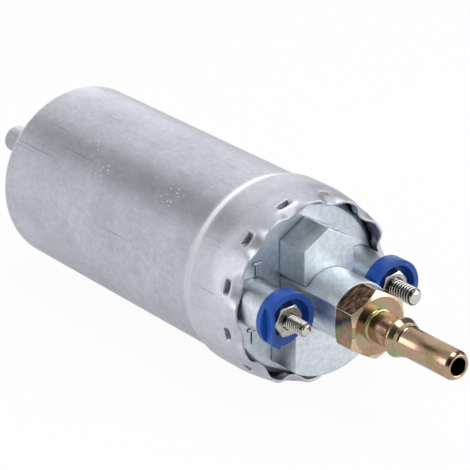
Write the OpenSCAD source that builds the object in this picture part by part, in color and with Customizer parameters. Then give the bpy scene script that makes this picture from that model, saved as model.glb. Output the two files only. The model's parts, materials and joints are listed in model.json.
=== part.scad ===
// Inline electric fuel pump: crimped aluminium can, die-cast end cap with two
// terminals and a beaded outlet, and the motor, rotor set and valves inside.
// Frame: pump axis along X, outlet at +X, hexagonal tower above the axis (+Z).
// Origin: on the axis, halfway along the plain part of the can. Millimetres.

/* [Can] */
// Outside diameter of the plain can
can_d = 52; // [50:0.5:56]
// Length of the plain can, from the rear face to the flare
can_len = 89; // [84:1:110]
// Sheet thickness of the can
can_t = 1.2; // [1:0.1:1.4]
// How far the front of the can flares out, on the radius
flare_rise = 1.1; // [0.6:0.1:1.6]
// Length from the start of the flare to the crimped edge
rim_len = 22.4; // [21.8:0.1:23.4]
// Depth of the crimp dents at the edge
dent_deep = 2.6; // [2:0.1:2.8]
// Corner radius at the rear of the can
corner_r = 2; // [1:0.25:3]

/* [End cap] */
// From the start of the flare to the cap's base face
cap_face = 18.2; // [17.8:0.1:18.6]
// Across flats of the hexagonal tower
tower_af = 16.2; // [14:0.2:18]
// Centre of the tower above the pump axis
tower_up = 10.9; // [9:0.1:11.4]
// Height of the tower and of the lower pad over the base face
tower_h = 10.7; // [8:0.1:13]
// Diameter of the outlet boss over its rounded top
boss_d = 18.6; // [17.8:0.1:19.4]
// Height of the outlet boss over the base face
boss_h = 23.4; // [18:0.1:26]
// How far inside the can's outside radius the lower pad ends
pad_in = 4.8; // [4.2:0.1:6]
// Half width of the lower pad
pad_half = 10.9; // [8:0.1:12]

/* [Terminals] */
// How far inside the can's outside radius each terminal stands
term_in = 8.4; // [8:0.1:9]
// Outside diameter of the cast terminal bosses
term_boss_d = 12.8; // [11.6:0.1:13]
// Height of the terminal bosses over the base face
term_boss_h = 12.4; // [9:0.1:13]
// Height of both terminals above the pump axis
term_up = 0.9; // [0:0.1:1.2]
// Diameter of the positive stud
plus_d = 5; // [4:0.5:5]
// Diameter of the negative stud
minus_d = 4; // [4:0.5:5]
// Length of the positive stud in front of its boss
stud_out = 12.6; // [11:0.1:18]
// How much shorter the negative stud stands
minus_back = 1.1; // [0:0.1:2]
// Across flats of the terminal nuts
nut_af = 8; // [7:0.5:8]
// Thickness of the terminal nuts
nut_h = 3.4; // [3:0.1:4.2]
// Outside diameter of the outer insulators
ins_d = 15.4; // [14:0.2:16.4]
// Height of the insulators' floor
ins_floor = 1.8; // [1.6:0.1:3]
// Height of the raised wall over the floor
ins_wall = 2.7; // [2:0.1:3.4]

/* [Outlet] */
// Across flats of the outlet fitting
fit_af = 17; // [16:0.5:19]
// Thickness of the fitting's hexagon
fit_t = 6.8; // [6:0.1:9]
// Outside diameter of the outlet and inlet tubes
tube_d = 7.94; // [7:0.02:9]
// Bore of the outlet and inlet tubes
tube_bore = 4.9; // [4:0.1:5.5]
// Outside diameter of the retaining beads
bead_d = 10.8; // [9.8:0.1:12]
// Length of the tube in front of the bead
spigot_len = 18; // [14:0.5:24]
// Length of the inlet tube behind the can
inlet_len = 34; // [30:0.5:45]

/* [Motor] */
// Diameter of the armature shaft
shaft_d = 5; // [4:0.5:6]
// Thickness of the magnets
magnet_t = 4.85; // [4:0.05:6]
// Radial air gap between core and magnets
air_gap = 0.6; // [0.4:0.1:0.8]
// Wall of the steel motor tube
flux_t = 2.4; // [2:0.1:2.6]
// Diameter of the commutator
comm_d = 16; // [15:0.5:17]
// Length of each carbon brush
brush_len = 6; // [5:0.25:6.5]
// Length of the brush holder
hold_len = 19; // [18:0.5:20]
// Length of the front bush
bush_len = 5; // [4:0.5:5]

/* [Pump stage] */
// Width of the rotor set
rotor_w = 6; // [5:0.25:8]
// Distance between the two rotor axes
ecc = 1.2; // [1:0.05:1.3]
// Pitch radius of the outer rotor's lobes
lobe_pitch = 11; // [10.6:0.1:11.4]
// Radius of the outer rotor's lobes
lobe_r = 3.2; // [2.8:0.1:3.4]

/* [Clearances] */
// Radial clearance of turning and sliding fits
run_gap = 0.04; // [0.02:0.01:0.08]
// Clearance at the sides and tips of the rotor set
side_gap = 0.05; // [0.03:0.01:0.1]
// Radial clearance of the pieces stacked in the can
slip = 0.15; // [0.1:0.05:0.3]

/* [Hidden] */
$fn = 64;

// Stations along the axis
x_rear = -can_len / 2;
x_flare = can_len / 2;
x_floor = x_rear + 1.4;
x_cover = x_floor + 7.5;
x_ring = x_cover + rotor_w + 2 * side_gap;
x_plate = x_ring + 5.5;
x_face = x_flare + cap_face;
x_cavity = x_face - 5;
x_capback = x_cavity - 4 - hold_len;
x_hold = x_capback - 3;
x_front = x_hold + hold_len;
x_bush = x_front - bush_len;
x_tower = x_face + tower_h;
x_term = x_face + term_boss_h;
x_boss = x_face + boss_h;
x_fit = x_boss + 1;
x_hexfront = x_fit + fit_t;
x_bead = x_hexfront + 6;
x_tip = x_bead + 7 + spigot_len;
x_pocket = x_term + ins_floor - 1;
x_nut = x_pocket + nut_h;
x_inlet = x_rear - inlet_len;

// Radii
can_r = can_d / 2;
flare_r = can_r + flare_rise;
bore_r = can_r - can_t;
stack_r = bore_r - slip;
tube_r = tube_d / 2;
hole_r = tube_bore / 2;
shaft_r = shaft_d / 2;
flux_in = stack_r - flux_t;
core_r = flux_in - magnet_t - air_gap;
comm_r = comm_d / 2;
rotor_out = lobe_pitch + 2;
cap_cavity_r = stack_r - 3.45;
tower_r = cap_cavity_r - 0.6;
screw_r = stack_r - 5.35;
relief_r = 2.5;
cap_r = flare_r - can_t - slip;
term_y = can_r - term_in;
boss_flat = tower_af / 2 - 0.15;
ins_r = ins_d / 2;
ins_flat = ins_r - 1.8;
pad_r = can_r - pad_in;
x_oring = x_face - 10;
groove_r = cap_r - 1.8;
seal_r = (flare_r - can_t - groove_r) / 2;
relief_seat = 1.5;
x_ball = x_ring - sqrt(relief_r * relief_r - relief_seat * relief_seat) - 0.03;

// Commutator and brush stations, measured from the back of the brush holder
x_brush = x_hold + 7.6;
brush_w = 6;
brush_h = 6.4;
guide_t = 0.8;
brush_in = comm_r + run_gap;
guide_y = tower_r - 0.5;
guide_out = guide_y - guide_t;

// Valve chamber in the outlet fitting
chamber_r = 4.4;
stem_r = 6;
x_stem = x_boss - 9;
x_seat = x_stem + 2;
x_chamber = x_hexfront - 2;
poppet_t = 1.6;

// Lays a child's own z along the pump axis: local x is across (Y), local y is up (Z)
module along(x) translate([x, 0, 0]) rotate([90, 0, 90]) children();

// Round bar along the axis from a to b
module bar(a, b, r, y = 0, z = 0)
    along(a) translate([y, z, 0]) cylinder(h = b - a, r = r);

// Block from a to b along the axis
module block(a, b, y0, y1, z0, z1)
    translate([a, y0, z0]) cube([b - a, y1 - y0, z1 - z0]);

// Solid of revolution about the axis from points [radius, x]
module lathe(pts) along(0) rotate_extrude() polygon(pts);

// Hexagonal bar with a vertex up, from a to b
module hexbar(a, b, af, y = 0, z = 0, turn = 90)
    along(a) translate([y, z, 0]) rotate([0, 0, turn])
        cylinder(h = b - a, r = af / sqrt(3), $fn = 6);

// Sector ring about the axis, centred on an angle, from a to b
module arc(a, b, r0, r1, mid, span)
    along(a) rotate([0, 0, mid - span / 2]) rotate_extrude(angle = span)
        translate([r0, 0]) square([r1 - r0, b - a]);

// Coil spring about its own z axis, with closed flat turns at both ends
function coil_pt(t, turns, h, r) =
    let (u = t / turns, e = 1.1 / turns,
         k = u < e ? 0.06 * u / e : u > 1 - e ? 1 - 0.06 * (1 - u) / e
             : 0.06 + 0.88 * (u - e) / (1 - 2 * e))
    [r * cos(360 * t), r * sin(360 * t), h * k];
module coil(h, r, wire, turns) {
    n = 14 * turns;
    side = 6;
    rise = h - 2 * wire;
    pts = [for (i = [0:n]) let (t = i / 14, c = coil_pt(t, turns, rise, r))
        for (j = [0:side - 1]) let (a = 360 * j / side)
            [c[0] + wire * cos(a) * cos(360 * t), c[1] + wire * cos(a) * sin(360 * t),
             c[2] + wire + wire * sin(a)]];
    body = [for (i = [0:n - 1]) for (j = [0:side - 1])
        let (p = i * side + j, q = i * side + (j + 1) % side)
        each [[p, q, p + side], [q, q + side, p + side]]];
    polyhedron(points = pts, faces = concat(body,
        [[for (j = [side - 1:-1:0]) j], [for (j = [0:side - 1]) n * side + j]]));
}

// Can

// Evenly spaced dents; one lies halfway between any two of the rim's lobes
dents = 12;
steps = 120;
function dent_at(a) = let (m = abs(a % (360 / dents) - 180 / dents)) exp(-pow(m / 6.4, 2));
function skirt_r(s) = flare_r - (s > 11 ? 1.15 * pow((s - 11) / 11.2, 1.5) : 0);
function edge_s(a) = rim_len - 1.1 * dent_at(a);
function dent_in(s, a) = dent_at(a) * (s < 14 ? 0 : s < 18.9 ? 0.3 * (s - 14) / 4.9
    : s < 19.3 ? 0.3 + 0.9 * (s - 18.9) / 0.4
    : 1.2 + (dent_deep - 1.2) * (s - 19.3) / (rim_len - 1.1 - 19.3));
function sheet(s) = s < 16 ? can_t : can_t - 0.25 * min(1, (s - 16) / 4);
// Closed section of the rim at one angle, as [distance from the flare, radius]
function rim_section(a) = let (e = edge_s(a)) concat(
    [[9.6, flare_r - 0.35], [9.95, flare_r - 0.03]],
    [for (s = [13, 16, 18.9, 19.3, 20.4]) [s, skirt_r(s) - dent_in(s, a)]],
    [[e, skirt_r(e) - dent_in(e, a)], [e, skirt_r(e) - dent_in(e, a) - sheet(e)]],
    [for (s = [20, 18.6, 16, 13]) [s, skirt_r(s) - dent_in(s, a) - sheet(s)]],
    [[9.95, flare_r - can_t + 0.03], [9.6, flare_r - can_t + 0.35]]);
module crimped_rim() {
    m = len(rim_section(0));
    pts = [for (i = [0:steps - 1]) let (a = 360 * i / steps, sec = rim_section(a))
        for (p = sec) [x_flare + p[0], p[1] * cos(a), p[1] * sin(a)]];
    faces = [for (i = [0:steps - 1]) for (j = [0:m - 1])
        let (i2 = (i + 1) % steps, j2 = (j + 1) % m)
        each [[i * m + j, i * m + j2, i2 * m + j], [i * m + j2, i2 * m + j2, i2 * m + j]]];
    polyhedron(points = pts, faces = faces);
}

module housing_shell() color([0.78, 0.78, 0.82]) union() {
    lathe(concat([[9.2, x_rear]],
        [for (a = [0:15:90]) [can_r - corner_r + corner_r * sin(a), x_rear + corner_r - corner_r * cos(a)]],
        [[can_r, x_flare], [flare_r, x_flare + 2], [flare_r, x_flare + 10],
        [flare_r - can_t, x_flare + 10], [flare_r - can_t, x_flare + 2.3], [bore_r, x_flare + 0.3],
        [bore_r, x_floor + 1], [bore_r - 1, x_floor], [9.2, x_floor]]));
    crimped_rim();
}

// Tube with a retaining bead: b is where the bead starts, going towards the tip
function bead_pts(b, s) = concat([[tube_r + 0.3, b + s * 1.3], [tube_r + 0.45, b + s * 1.65]],
    [for (a = [165:-15:90]) [bead_d / 2 - 1.1 + 1.1 * sin(a), b + s * (2.9 + 1.1 * cos(a))]],
    [for (a = [90:-14:20]) [bead_d / 2 - 0.7 + 0.7 * sin(a), b + s * (3.9 + 0.7 * cos(a))]],
    [[tube_r + 0.48, b + s * 4.75], [tube_r + 0.38, b + s * 5.9], [tube_r + 0.2, b + s * 6.1],
    [tube_r, b + s * 6.4]]);

// Pump stage

module inlet_cover() color([0.72, 0.73, 0.75]) difference() {
    lathe(concat([[0, x_cover], [stack_r, x_cover], [stack_r, x_floor + 1.2],
        [stack_r - 1.2, x_floor], [14.2, x_floor], [14.2, x_floor + 1.7],
        [11.6, x_floor + 1.7], [11.6, x_floor], [9, x_floor], [9, x_rear - 2.2],
        [8.2, x_rear - 3], [tube_r + 0.3, x_rear - 3]],
        bead_pts(x_inlet + 7 + spigot_len, -1),
        [[tube_r, x_inlet + 0.7], [tube_r - 0.7, x_inlet], [0, x_inlet]]));
    bar(x_inlet - 1, x_cover - 2.2, hole_r);
    block(x_cover - 5.6, x_cover - 2.2, 0, 10, -2.2, 2.2);
    along(x_cover - 5) translate([0, ecc, 0]) rotate([0, 0, -60]) rotate_extrude(angle = 120)
        translate([7.6, 0]) square([2.6, 6]);
    bar(x_cover - 5.6, x_cover + 1, relief_r + 0.3, 0, -screw_r);
    block(x_cover - 5.4, x_cover - 3, -1.5, 1.5, -screw_r, 0);
    for (a = [30, 150, 210]) along(x_cover - 5) rotate([0, 0, a])
        translate([screw_r, 0, 0]) cylinder(h = 6, r = 1.5);
}

module inlet_seal() color([0.08, 0.08, 0.08]) along(x_floor + 0.85)
    rotate_extrude() translate([12.9, 0]) circle(r = 0.85);

module pump_ring() color([0.6, 0.6, 0.62]) difference() {
    bar(x_cover, x_ring, stack_r);
    bar(x_cover - 1, x_ring + 1, rotor_out + run_gap, 0, ecc);
    bar(x_cover - 1, x_ring + 1, relief_r + 0.3, 0, -screw_r);
    for (a = [30, 150, 210]) along(x_cover - 1) rotate([0, 0, a])
        translate([screw_r, 0, 0]) cylinder(h = rotor_w + 3, r = 1.5);
}

// Seven round lobes point inwards from the outer rotor
module outer_rotor() color([0.5, 0.5, 0.53]) along(x_cover + side_gap) translate([0, ecc, 0])
    difference() {
        cylinder(h = rotor_w, r = rotor_out);
        difference() {
            translate([0, 0, -1]) cylinder(h = rotor_w + 2, r = lobe_pitch + 2 * ecc - lobe_r + side_gap);
            for (k = [0:6]) rotate([0, 0, 90 + 360 * k / 7]) translate([lobe_pitch, 0, -2])
                cylinder(h = rotor_w + 4, r = lobe_r);
        }
    }

// The inner rotor's six teeth follow the path of the outer rotor's lobes; the points lie
// closer together in the valleys, where the path turns fastest
function tooth_pt(t) =
    let (q = t + 8.6 * sin(6 * t),
         cx = lobe_pitch * cos(q) + ecc * cos(7 * q), cy = lobe_pitch * sin(q) + ecc * sin(7 * q),
         nx = lobe_pitch * cos(q) + 7 * ecc * cos(7 * q), ny = lobe_pitch * sin(q) + 7 * ecc * sin(7 * q),
         k = (lobe_r + side_gap) / norm([nx, ny]))
    [cx - k * nx, cy - k * ny];
module inner_rotor() color([0.55, 0.55, 0.57]) along(x_cover + side_gap)
    difference() {
        rotate([0, 0, 90]) linear_extrude(rotor_w) polygon([for (i = [0:239]) tooth_pt(1.5 * i)]);
        intersection() {
            translate([0, 0, -1]) cylinder(h = rotor_w + 2, r = shaft_r);
            translate([-shaft_r, -shaft_r + 0.5, -1]) cube([2 * shaft_r, 2 * shaft_r - 1, rotor_w + 2]);
        }
    }

module pump_plate() color([0.66, 0.67, 0.69]) difference() {
    union() {
        bar(x_ring, x_plate, stack_r);
        bar(x_plate - 1, x_plate + 3, 6);
    }
    bar(x_ring - 1, x_plate + 4, shaft_r + 1.5);
    along(x_ring - 1) translate([0, ecc, 0]) rotate([0, 0, 120]) rotate_extrude(angle = 120)
        translate([7.6, 0]) square([2.6, 12]);
    bar(x_ring - 1, x_plate + 1, relief_seat, 0, -screw_r);
    for (a = [30, 150, 210]) along(x_ring - 1) rotate([0, 0, a])
        translate([screw_r, 0, 0]) { cylinder(h = 8, r = 1.5); translate([0, 0, 4]) cylinder(h = 4, r = 2.8); }
}

module rear_bush() color([0.72, 0.5, 0.25]) difference() {
    bar(x_ring + 0.5, x_plate + 3, shaft_r + 1.5);
    bar(x_ring, x_plate + 4, shaft_r + run_gap);
}

module stack_screws() color([0.45, 0.45, 0.47]) for (a = [30, 150, 210])
    along(x_cover - 4.5) rotate([0, 0, a]) translate([screw_r, 0, 0]) difference() {
        union() {
            cylinder(h = x_ring + 3 - x_cover + 4.5, r = 1.5);
            translate([0, 0, x_ring + 3 - x_cover + 4.5]) cylinder(h = 2.2, r = 2.7);
        }
        translate([0, 0, x_ring + 4 - x_cover + 4.5]) cylinder(h = 2, r = 1.4, $fn = 6);
    }

module relief_ball() color([0.75, 0.75, 0.77]) translate([x_ball, 0, -screw_r])
    sphere(r = relief_r);

module relief_spring() color([0.6, 0.6, 0.6]) along(x_cover - 5.5) translate([0, -screw_r, 0])
    coil(x_ball - 2 - x_cover + 5.5, 1.9, 0.3, 5);

// Motor

module motor_tube() color([0.42, 0.43, 0.45]) lathe([[flux_in, x_plate], [stack_r, x_plate],
    [stack_r, x_hold], [flux_in, x_hold]]);

mag_in = core_r + air_gap;
mag_a = x_plate + 9;
mag_b = x_hold - 11;
module magnet_upper() color([0.2, 0.2, 0.21]) arc(mag_a, mag_b, mag_in, flux_in, 90, 140);
module magnet_lower() color([0.2, 0.2, 0.21]) arc(mag_a, mag_b, mag_in, flux_in, 270, 140);
module magnet_clips() color([0.55, 0.55, 0.57]) for (m = [0, 180]) {
    arc(mag_a + 1, mag_b - 1, flux_in - 0.9, flux_in, m, 30);
    for (s = [-1, 1]) arc(mag_a + 1, mag_b - 1, flux_in - 3, flux_in - 0.9, m + s * 18, 3);
    for (s = [-1, 1]) arc(mag_a + 1, mag_b - 1, flux_in - 0.9, flux_in, m + s * 17.3, 4.6);
}

core_a = x_plate + 12;
core_b = x_hold - 14;
module armature_shaft() color([0.7, 0.7, 0.72]) difference() {
    bar(x_cover + 0.1, x_front + 0.4, shaft_r);
    for (s = [-1, 1]) block(x_cover, x_ring, -shaft_r, shaft_r,
        s > 0 ? shaft_r - 0.5 : -shaft_r - 1, s > 0 ? shaft_r + 1 : -shaft_r + 0.5);
}

slots = 8;
hub_r = shaft_r + 5.5;
slot_w = 0.262 * core_r;
module armature_core() color([0.4, 0.4, 0.42]) along(core_a) linear_extrude(core_b - core_a)
    difference() {
        circle(r = core_r);
        circle(r = shaft_r);
        for (k = [0:slots - 1]) rotate(360 * k / slots) {
            polygon([[hub_r, -1.6], [core_r - 2.2, -slot_w], [core_r - 2.2, slot_w], [hub_r, 1.6]]);
            translate([core_r - 3, -0.9]) square([4, 1.8]);
        }
    }

module armature_windings() color([0.62, 0.3, 0.14]) union() {
    for (k = [0:slots - 1]) along(core_a - 1.5) rotate([0, 0, 360 * k / slots])
        linear_extrude(core_b - core_a + 3)
            polygon([[hub_r + 0.2, -1.4], [core_r - 2.5, 0.3 - slot_w], [core_r - 2.5, slot_w - 0.3],
                [hub_r + 0.2, 1.4]]);
    lathe([[7, core_a - 6.2], [9, core_a - 7.2], [12.6, core_a - 6.4], [core_r - 2.6, core_a - 3.6],
        [core_r - 2.6, core_a - 0.4], [7, core_a - 0.4]]);
    lathe([[6.8, core_b + 0.4], [core_r - 2.6, core_b + 0.4], [core_r - 2.6, core_b + 2.8],
        [12.6, core_b + 5], [9, core_b + 5.6], [6.8, core_b + 5]]);
}

module commutator_hub() color([0.16, 0.1, 0.07])
    lathe([[shaft_r, x_hold - 8], [comm_r - 2, x_hold - 8], [comm_r - 2, x_bush - 1],
        [shaft_r, x_bush - 1]]);

module commutator_bars() color([0.78, 0.47, 0.25]) for (k = [0:slots - 1])
    along(x_hold - 7.4) rotate([0, 0, 360 * k / slots]) rotate_extrude(angle = 41)
        polygon([[comm_r - 2, 0], [comm_r + 1.6, 0], [comm_r + 1.6, 1.4], [comm_r, 1.4],
            [comm_r, x_bush - x_hold + 6], [comm_r - 2, x_bush - x_hold + 6]]);

module thrust_washers() color([0.8, 0.8, 0.74]) {
    lathe([[shaft_r, x_plate + 3.2], [shaft_r + 2.4, x_plate + 3.2],
        [shaft_r + 2.4, x_plate + 4], [shaft_r, x_plate + 4]]);
    lathe([[shaft_r, x_bush - 1], [shaft_r + 2.4, x_bush - 1],
        [shaft_r + 2.4, x_bush - 0.3], [shaft_r, x_bush - 0.3]]);
}

// Brush gear

hold_in = comm_r + 1.4;
strap_in = guide_y - 6.9;
head_r = 3.9;
module brush_holder() color([0.15, 0.17, 0.2]) difference() {
    union() {
        bar(x_hold, x_capback, stack_r);
        bar(x_capback, x_front, tower_r);
    }
    bar(x_hold - 1, x_bush, hold_in);
    bar(x_bush - 1, x_front + 1, shaft_r + 1.8);
    block(x_brush - brush_w / 2 - guide_t, x_brush + brush_w / 2 + guide_t,
        -tower_r - 1, tower_r + 1, -brush_h / 2 - guide_t, brush_h / 2 + guide_t);
    for (s = [-1, 1]) block(x_capback + 0.6, x_front + 1, s > 0 ? strap_in - 0.8 : -tower_r - 1,
        s > 0 ? tower_r + 1 : -strap_in + 0.8, brush_h / 2 + guide_t - 0.01, brush_h / 2 + guide_t + 1.4);
    for (a = [55, 90, 125, 235, 270, 305]) along(x_hold - 1) rotate([0, 0, a])
        translate([(hold_in + tower_r) / 2 - 0.4, 0, 0]) cylinder(h = hold_len + 3, r = 3.1);
}

module front_bush() color([0.72, 0.5, 0.25]) difference() {
    bar(x_bush, x_front, shaft_r + 1.8);
    bar(x_bush - 1, x_front + 1, shaft_r + run_gap);
}

// Carbon brush on one side (s = 1 or -1), hollowed to the commutator
module brush(s) color([0.17, 0.17, 0.18]) difference() {
    block(x_brush - brush_w / 2, x_brush + brush_w / 2,
        s > 0 ? comm_r - 2 : -brush_in - brush_len, s > 0 ? brush_in + brush_len : -comm_r + 2,
        -brush_h / 2, brush_h / 2);
    bar(x_brush - brush_w, x_brush + brush_w, brush_in);
}
module brush_plus() brush(1);
module brush_minus() brush(-1);

// Brass box that guides a brush and backs its spring
module brush_guide(s) color([0.78, 0.62, 0.3]) difference() {
    block(x_brush - brush_w / 2 - guide_t, x_brush + brush_w / 2 + guide_t,
        s > 0 ? hold_in : -guide_y, s > 0 ? guide_y : -hold_in,
        -brush_h / 2 - guide_t, brush_h / 2 + guide_t);
    block(x_brush - brush_w / 2 - run_gap, x_brush + brush_w / 2 + run_gap,
        s > 0 ? hold_in - 1 : -guide_out, s > 0 ? guide_out : -hold_in + 1,
        -brush_h / 2 - run_gap, brush_h / 2 + run_gap);
}
module brush_guide_plus() brush_guide(1);
module brush_guide_minus() brush_guide(-1);

module brush_spring(s) color([0.6, 0.6, 0.6])
    translate([x_brush, s * (brush_in + brush_len + 0.02), 0]) rotate([-90 * s, 0, 0])
        coil(guide_out - brush_in - brush_len - 0.04, 2, 0.3, 4);
module brush_spring_plus() brush_spring(1);
module brush_spring_minus() brush_spring(-1);

// Copper strap from a brush guide up to the head of its stud
strap_z = brush_h / 2 + guide_t;
module strap(s) color([0.75, 0.45, 0.25]) difference() {
    union() {
        block(x_brush - 2.5, x_cavity - 2.2, s > 0 ? strap_in : -strap_in - 4,
            s > 0 ? strap_in + 4 : -strap_in, strap_z, strap_z + 0.8);
        block(x_cavity - 3, x_cavity - 2.2, s > 0 ? strap_in : -term_y - 2.6,
            s > 0 ? term_y + 2.6 : -strap_in, term_up - 3.6, strap_z + 0.8);
    }
    bar(x_cavity - 5, x_cavity, (s > 0 ? plus_d : minus_d) / 2, s * term_y, term_up);
    bar(x_cavity - 5.6, x_cavity - 3, head_r + 0.3, s * term_y, term_up);
}
module strap_plus() strap(1);
module strap_minus() strap(-1);

// End cap

module end_cap() color([0.8, 0.83, 0.87]) difference() {
    union() {
        lathe([[0, x_capback], [stack_r, x_capback], [stack_r, x_flare + 0.1],
            [cap_r, x_flare + 2.5], [cap_r, x_oring - 1.4], [groove_r, x_oring - 1.4],
            [groove_r, x_oring + 1.4], [cap_r, x_oring + 1.4], [cap_r, x_face - 4.8],
            [cap_r - 0.55, x_face - 2.7], [cap_r - 1.45, x_face - 1.2], [cap_r - 2.75, x_face],
            [0, x_face]]);
        hexbar(x_face - 1, x_tower, tower_af, 0, tower_up);
        along(x_face - 1) linear_extrude(x_boss - x_face + 1) {
            intersection() {
                circle(r = boss_d / 2);
                translate([-boss_flat, 0]) square([2 * boss_flat, boss_d]);
            }
            circle(r = boss_flat + 0.15);
        }
        along(x_face - 1) linear_extrude(tower_h + 1) intersection() {
            circle(r = pad_r);
            translate([-pad_half, -pad_r]) square([2 * pad_half, pad_r - 4]);
        }
        for (s = [-1, 1]) bar(x_face - 7, x_term, term_boss_d / 2, s * term_y, term_up);
    }
    bar(x_capback - 1, x_cavity, cap_cavity_r);
    for (s = [-1, 1]) bar(x_cavity - 7, x_cavity, 4.8, s * term_y, term_up);
    bar(x_cavity - 1, x_stem, 3.4);
    bar(x_stem, x_boss + 1, stem_r);
    bar(x_cavity - 1, x_tower - 3, 4.4, 0, tower_up + 1);
    bar(x_cavity - 1, x_tower - 3, 3.2, 0, -14.6);
    bar(x_cavity - 1, x_term + 1, plus_d / 2 + 1.1, term_y, term_up);
    bar(x_cavity - 1, x_term + 1, minus_d / 2 + 1.1, -term_y, term_up);
}

module end_cap_seal() color([0.08, 0.08, 0.08]) along(x_oring)
    rotate_extrude() translate([groove_r + seal_r, 0]) circle(r = seal_r);

// Terminals

// Flanged plastic sleeve that keeps a stud off the cap
module bushing(s, d) color([0.13, 0.2, 0.42]) difference() {
    union() {
        bar(x_cavity - 2.2, x_cavity, 4.5, s * term_y, term_up);
        bar(x_cavity, x_term, d / 2 + 1.1, s * term_y, term_up);
    }
    bar(x_cavity - 3, x_term + 1, d / 2, s * term_y, term_up);
}
module bushing_plus() bushing(1, plus_d);
module bushing_minus() bushing(-1, minus_d);

// Stud with a round head inside the cap and a thread relief in front of its nut
module stud(s, d, tip) color([0.82, 0.78, 0.7]) along(0) translate([s * term_y, term_up, 0]) {
    translate([0, 0, x_cavity - 3]) cylinder(h = x_nut - x_cavity + 3, r = d / 2);
    translate([0, 0, x_nut - 0.1]) cylinder(h = 0.7, r = d / 2 - 0.25);
    translate([0, 0, x_nut + 0.5]) cylinder(h = tip - 0.7 - x_nut - 0.5, r = d / 2);
    translate([0, 0, tip - 0.7]) cylinder(h = 0.7, r1 = d / 2, r2 = d / 2 - 0.6);
    translate([0, 0, x_cavity - 5.2]) cylinder(h = 2.2, r = head_r);
}
module stud_plus() stud(1, plus_d, x_term + stud_out);
module stud_minus() stud(-1, minus_d, x_term + stud_out - minus_back);

// Outer insulator: round floor with a pocket for the nut, and a wall that is flat on one
// side and open over a sector, where a cable lug leaves
module insulator(s, d, turn, hex) color([0.12, 0.28, 0.68]) along(x_term)
    translate([s * term_y, term_up, 0]) difference() {
        cylinder(h = ins_floor + ins_wall, r = ins_r);
        rotate([0, 0, turn]) translate([0, 0, ins_floor]) linear_extrude(ins_wall + 1) union() {
            translate([-ins_flat - ins_r, -ins_r - 1]) square([ins_r, 2 * ins_r + 2]);
            intersection() {
                circle(r = ins_r - 1.5);
                translate([1 - ins_flat, -ins_r]) square([ins_flat + ins_r, 2 * ins_r]);
            }
            rotate(-72) polygon([[0, 0], [ins_d, -ins_d], [ins_d, ins_d]]);
        }
        translate([0, 0, -1]) cylinder(h = ins_floor + 2, r = d / 2);
        translate([0, 0, ins_floor - 1]) rotate([0, 0, hex])
            cylinder(h = ins_wall, r = nut_af / sqrt(3) + 0.12, $fn = 6);
    }
module insulator_plus() insulator(1, plus_d, 10, 10);
module insulator_minus() insulator(-1, minus_d, 2, 3);

module nut(s, d, turn) color([0.85, 0.8, 0.7]) along(x_pocket)
    translate([s * term_y, term_up, 0]) rotate([0, 0, turn]) difference() {
        intersection() {
            cylinder(h = nut_h, r = nut_af / sqrt(3), $fn = 6);
            union() {
                cylinder(h = nut_h - 0.5, r = nut_af / sqrt(3) + 1);
                translate([0, 0, nut_h - 0.5]) cylinder(h = 0.5, r1 = nut_af / sqrt(3), r2 = nut_af / 2 - 0.1);
            }
        }
        translate([0, 0, -1]) cylinder(h = nut_h + 2, r = d / 2);
    }
module nut_plus() nut(1, plus_d, 10);
module nut_minus() nut(-1, minus_d, 3);

// Outlet

module sealing_washer() color([0.5, 0.32, 0.2]) difference() {
    bar(x_boss, x_fit, fit_af / 2 - 0.7);
    bar(x_boss - 1, x_fit + 1, stem_r);
}

module outlet_fitting() color([0.76, 0.62, 0.4]) difference() {
    union() {
        bar(x_stem, x_fit + 0.5, stem_r);
        intersection() {
            hexbar(x_fit, x_hexfront, fit_af);
            lathe([[0, x_fit], [fit_af / 2 + 0.3, x_fit], [fit_af / 2 + 1.6, x_fit + 0.75],
                [fit_af / 2 + 1.6, x_hexfront - 1.3], [fit_af / 2 - 0.55, x_hexfront],
                [0, x_hexfront]]);
        }
        lathe(concat([[0, x_hexfront - 1], [tube_r + 0.7, x_hexfront - 1],
            [tube_r + 0.7, x_hexfront + 0.3], [tube_r + 0.3, x_hexfront + 0.7]],
            bead_pts(x_bead, 1),
            [[tube_r, x_tip - 0.8], [tube_r - 0.6, x_tip], [0, x_tip]]));
    }
    bar(x_stem - 1, x_chamber, chamber_r);
    bar(x_chamber - 1, x_tip + 1, hole_r);
}

module check_seat() color([0.75, 0.65, 0.4]) difference() {
    bar(x_stem, x_seat, chamber_r);
    bar(x_stem - 1, x_seat + 1, 2.4);
}

// Flat disc that closes the seat, with a spigot for the spring and four guide fins
module check_poppet() color([0.12, 0.12, 0.12]) union() {
    bar(x_seat, x_seat + poppet_t, 3.3);
    bar(x_seat, x_seat + poppet_t + 2, 1.1);
    intersection() {
        bar(x_seat, x_seat + poppet_t, chamber_r - run_gap);
        for (k = [0, 1]) along(x_seat) rotate([0, 0, 90 * k])
            translate([-6, -0.6, 0]) cube([12, 1.2, poppet_t]);
    }
}

module check_spring() color([0.6, 0.6, 0.6]) along(x_seat + poppet_t + 0.02)
    coil(x_chamber - x_seat - poppet_t - 0.04, 3, 0.3, 6);

housing_shell();
inlet_cover();
inlet_seal();
pump_ring();
outer_rotor();
inner_rotor();
pump_plate();
rear_bush();
stack_screws();
relief_ball();
relief_spring();
motor_tube();
magnet_upper();
magnet_lower();
magnet_clips();
armature_shaft();
armature_core();
armature_windings();
commutator_hub();
commutator_bars();
thrust_washers();
brush_holder();
front_bush();
brush_plus();
brush_minus();
brush_guide_plus();
brush_guide_minus();
brush_spring_plus();
brush_spring_minus();
strap_plus();
strap_minus();
end_cap();
end_cap_seal();
bushing_plus();
bushing_minus();
stud_plus();
stud_minus();
insulator_plus();
insulator_minus();
nut_plus();
nut_minus();
sealing_washer();
outlet_fitting();
check_seat();
check_poppet();
check_spring();
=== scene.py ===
import json
import math
import bpy
from mathutils import Matrix, Vector, noise


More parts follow.
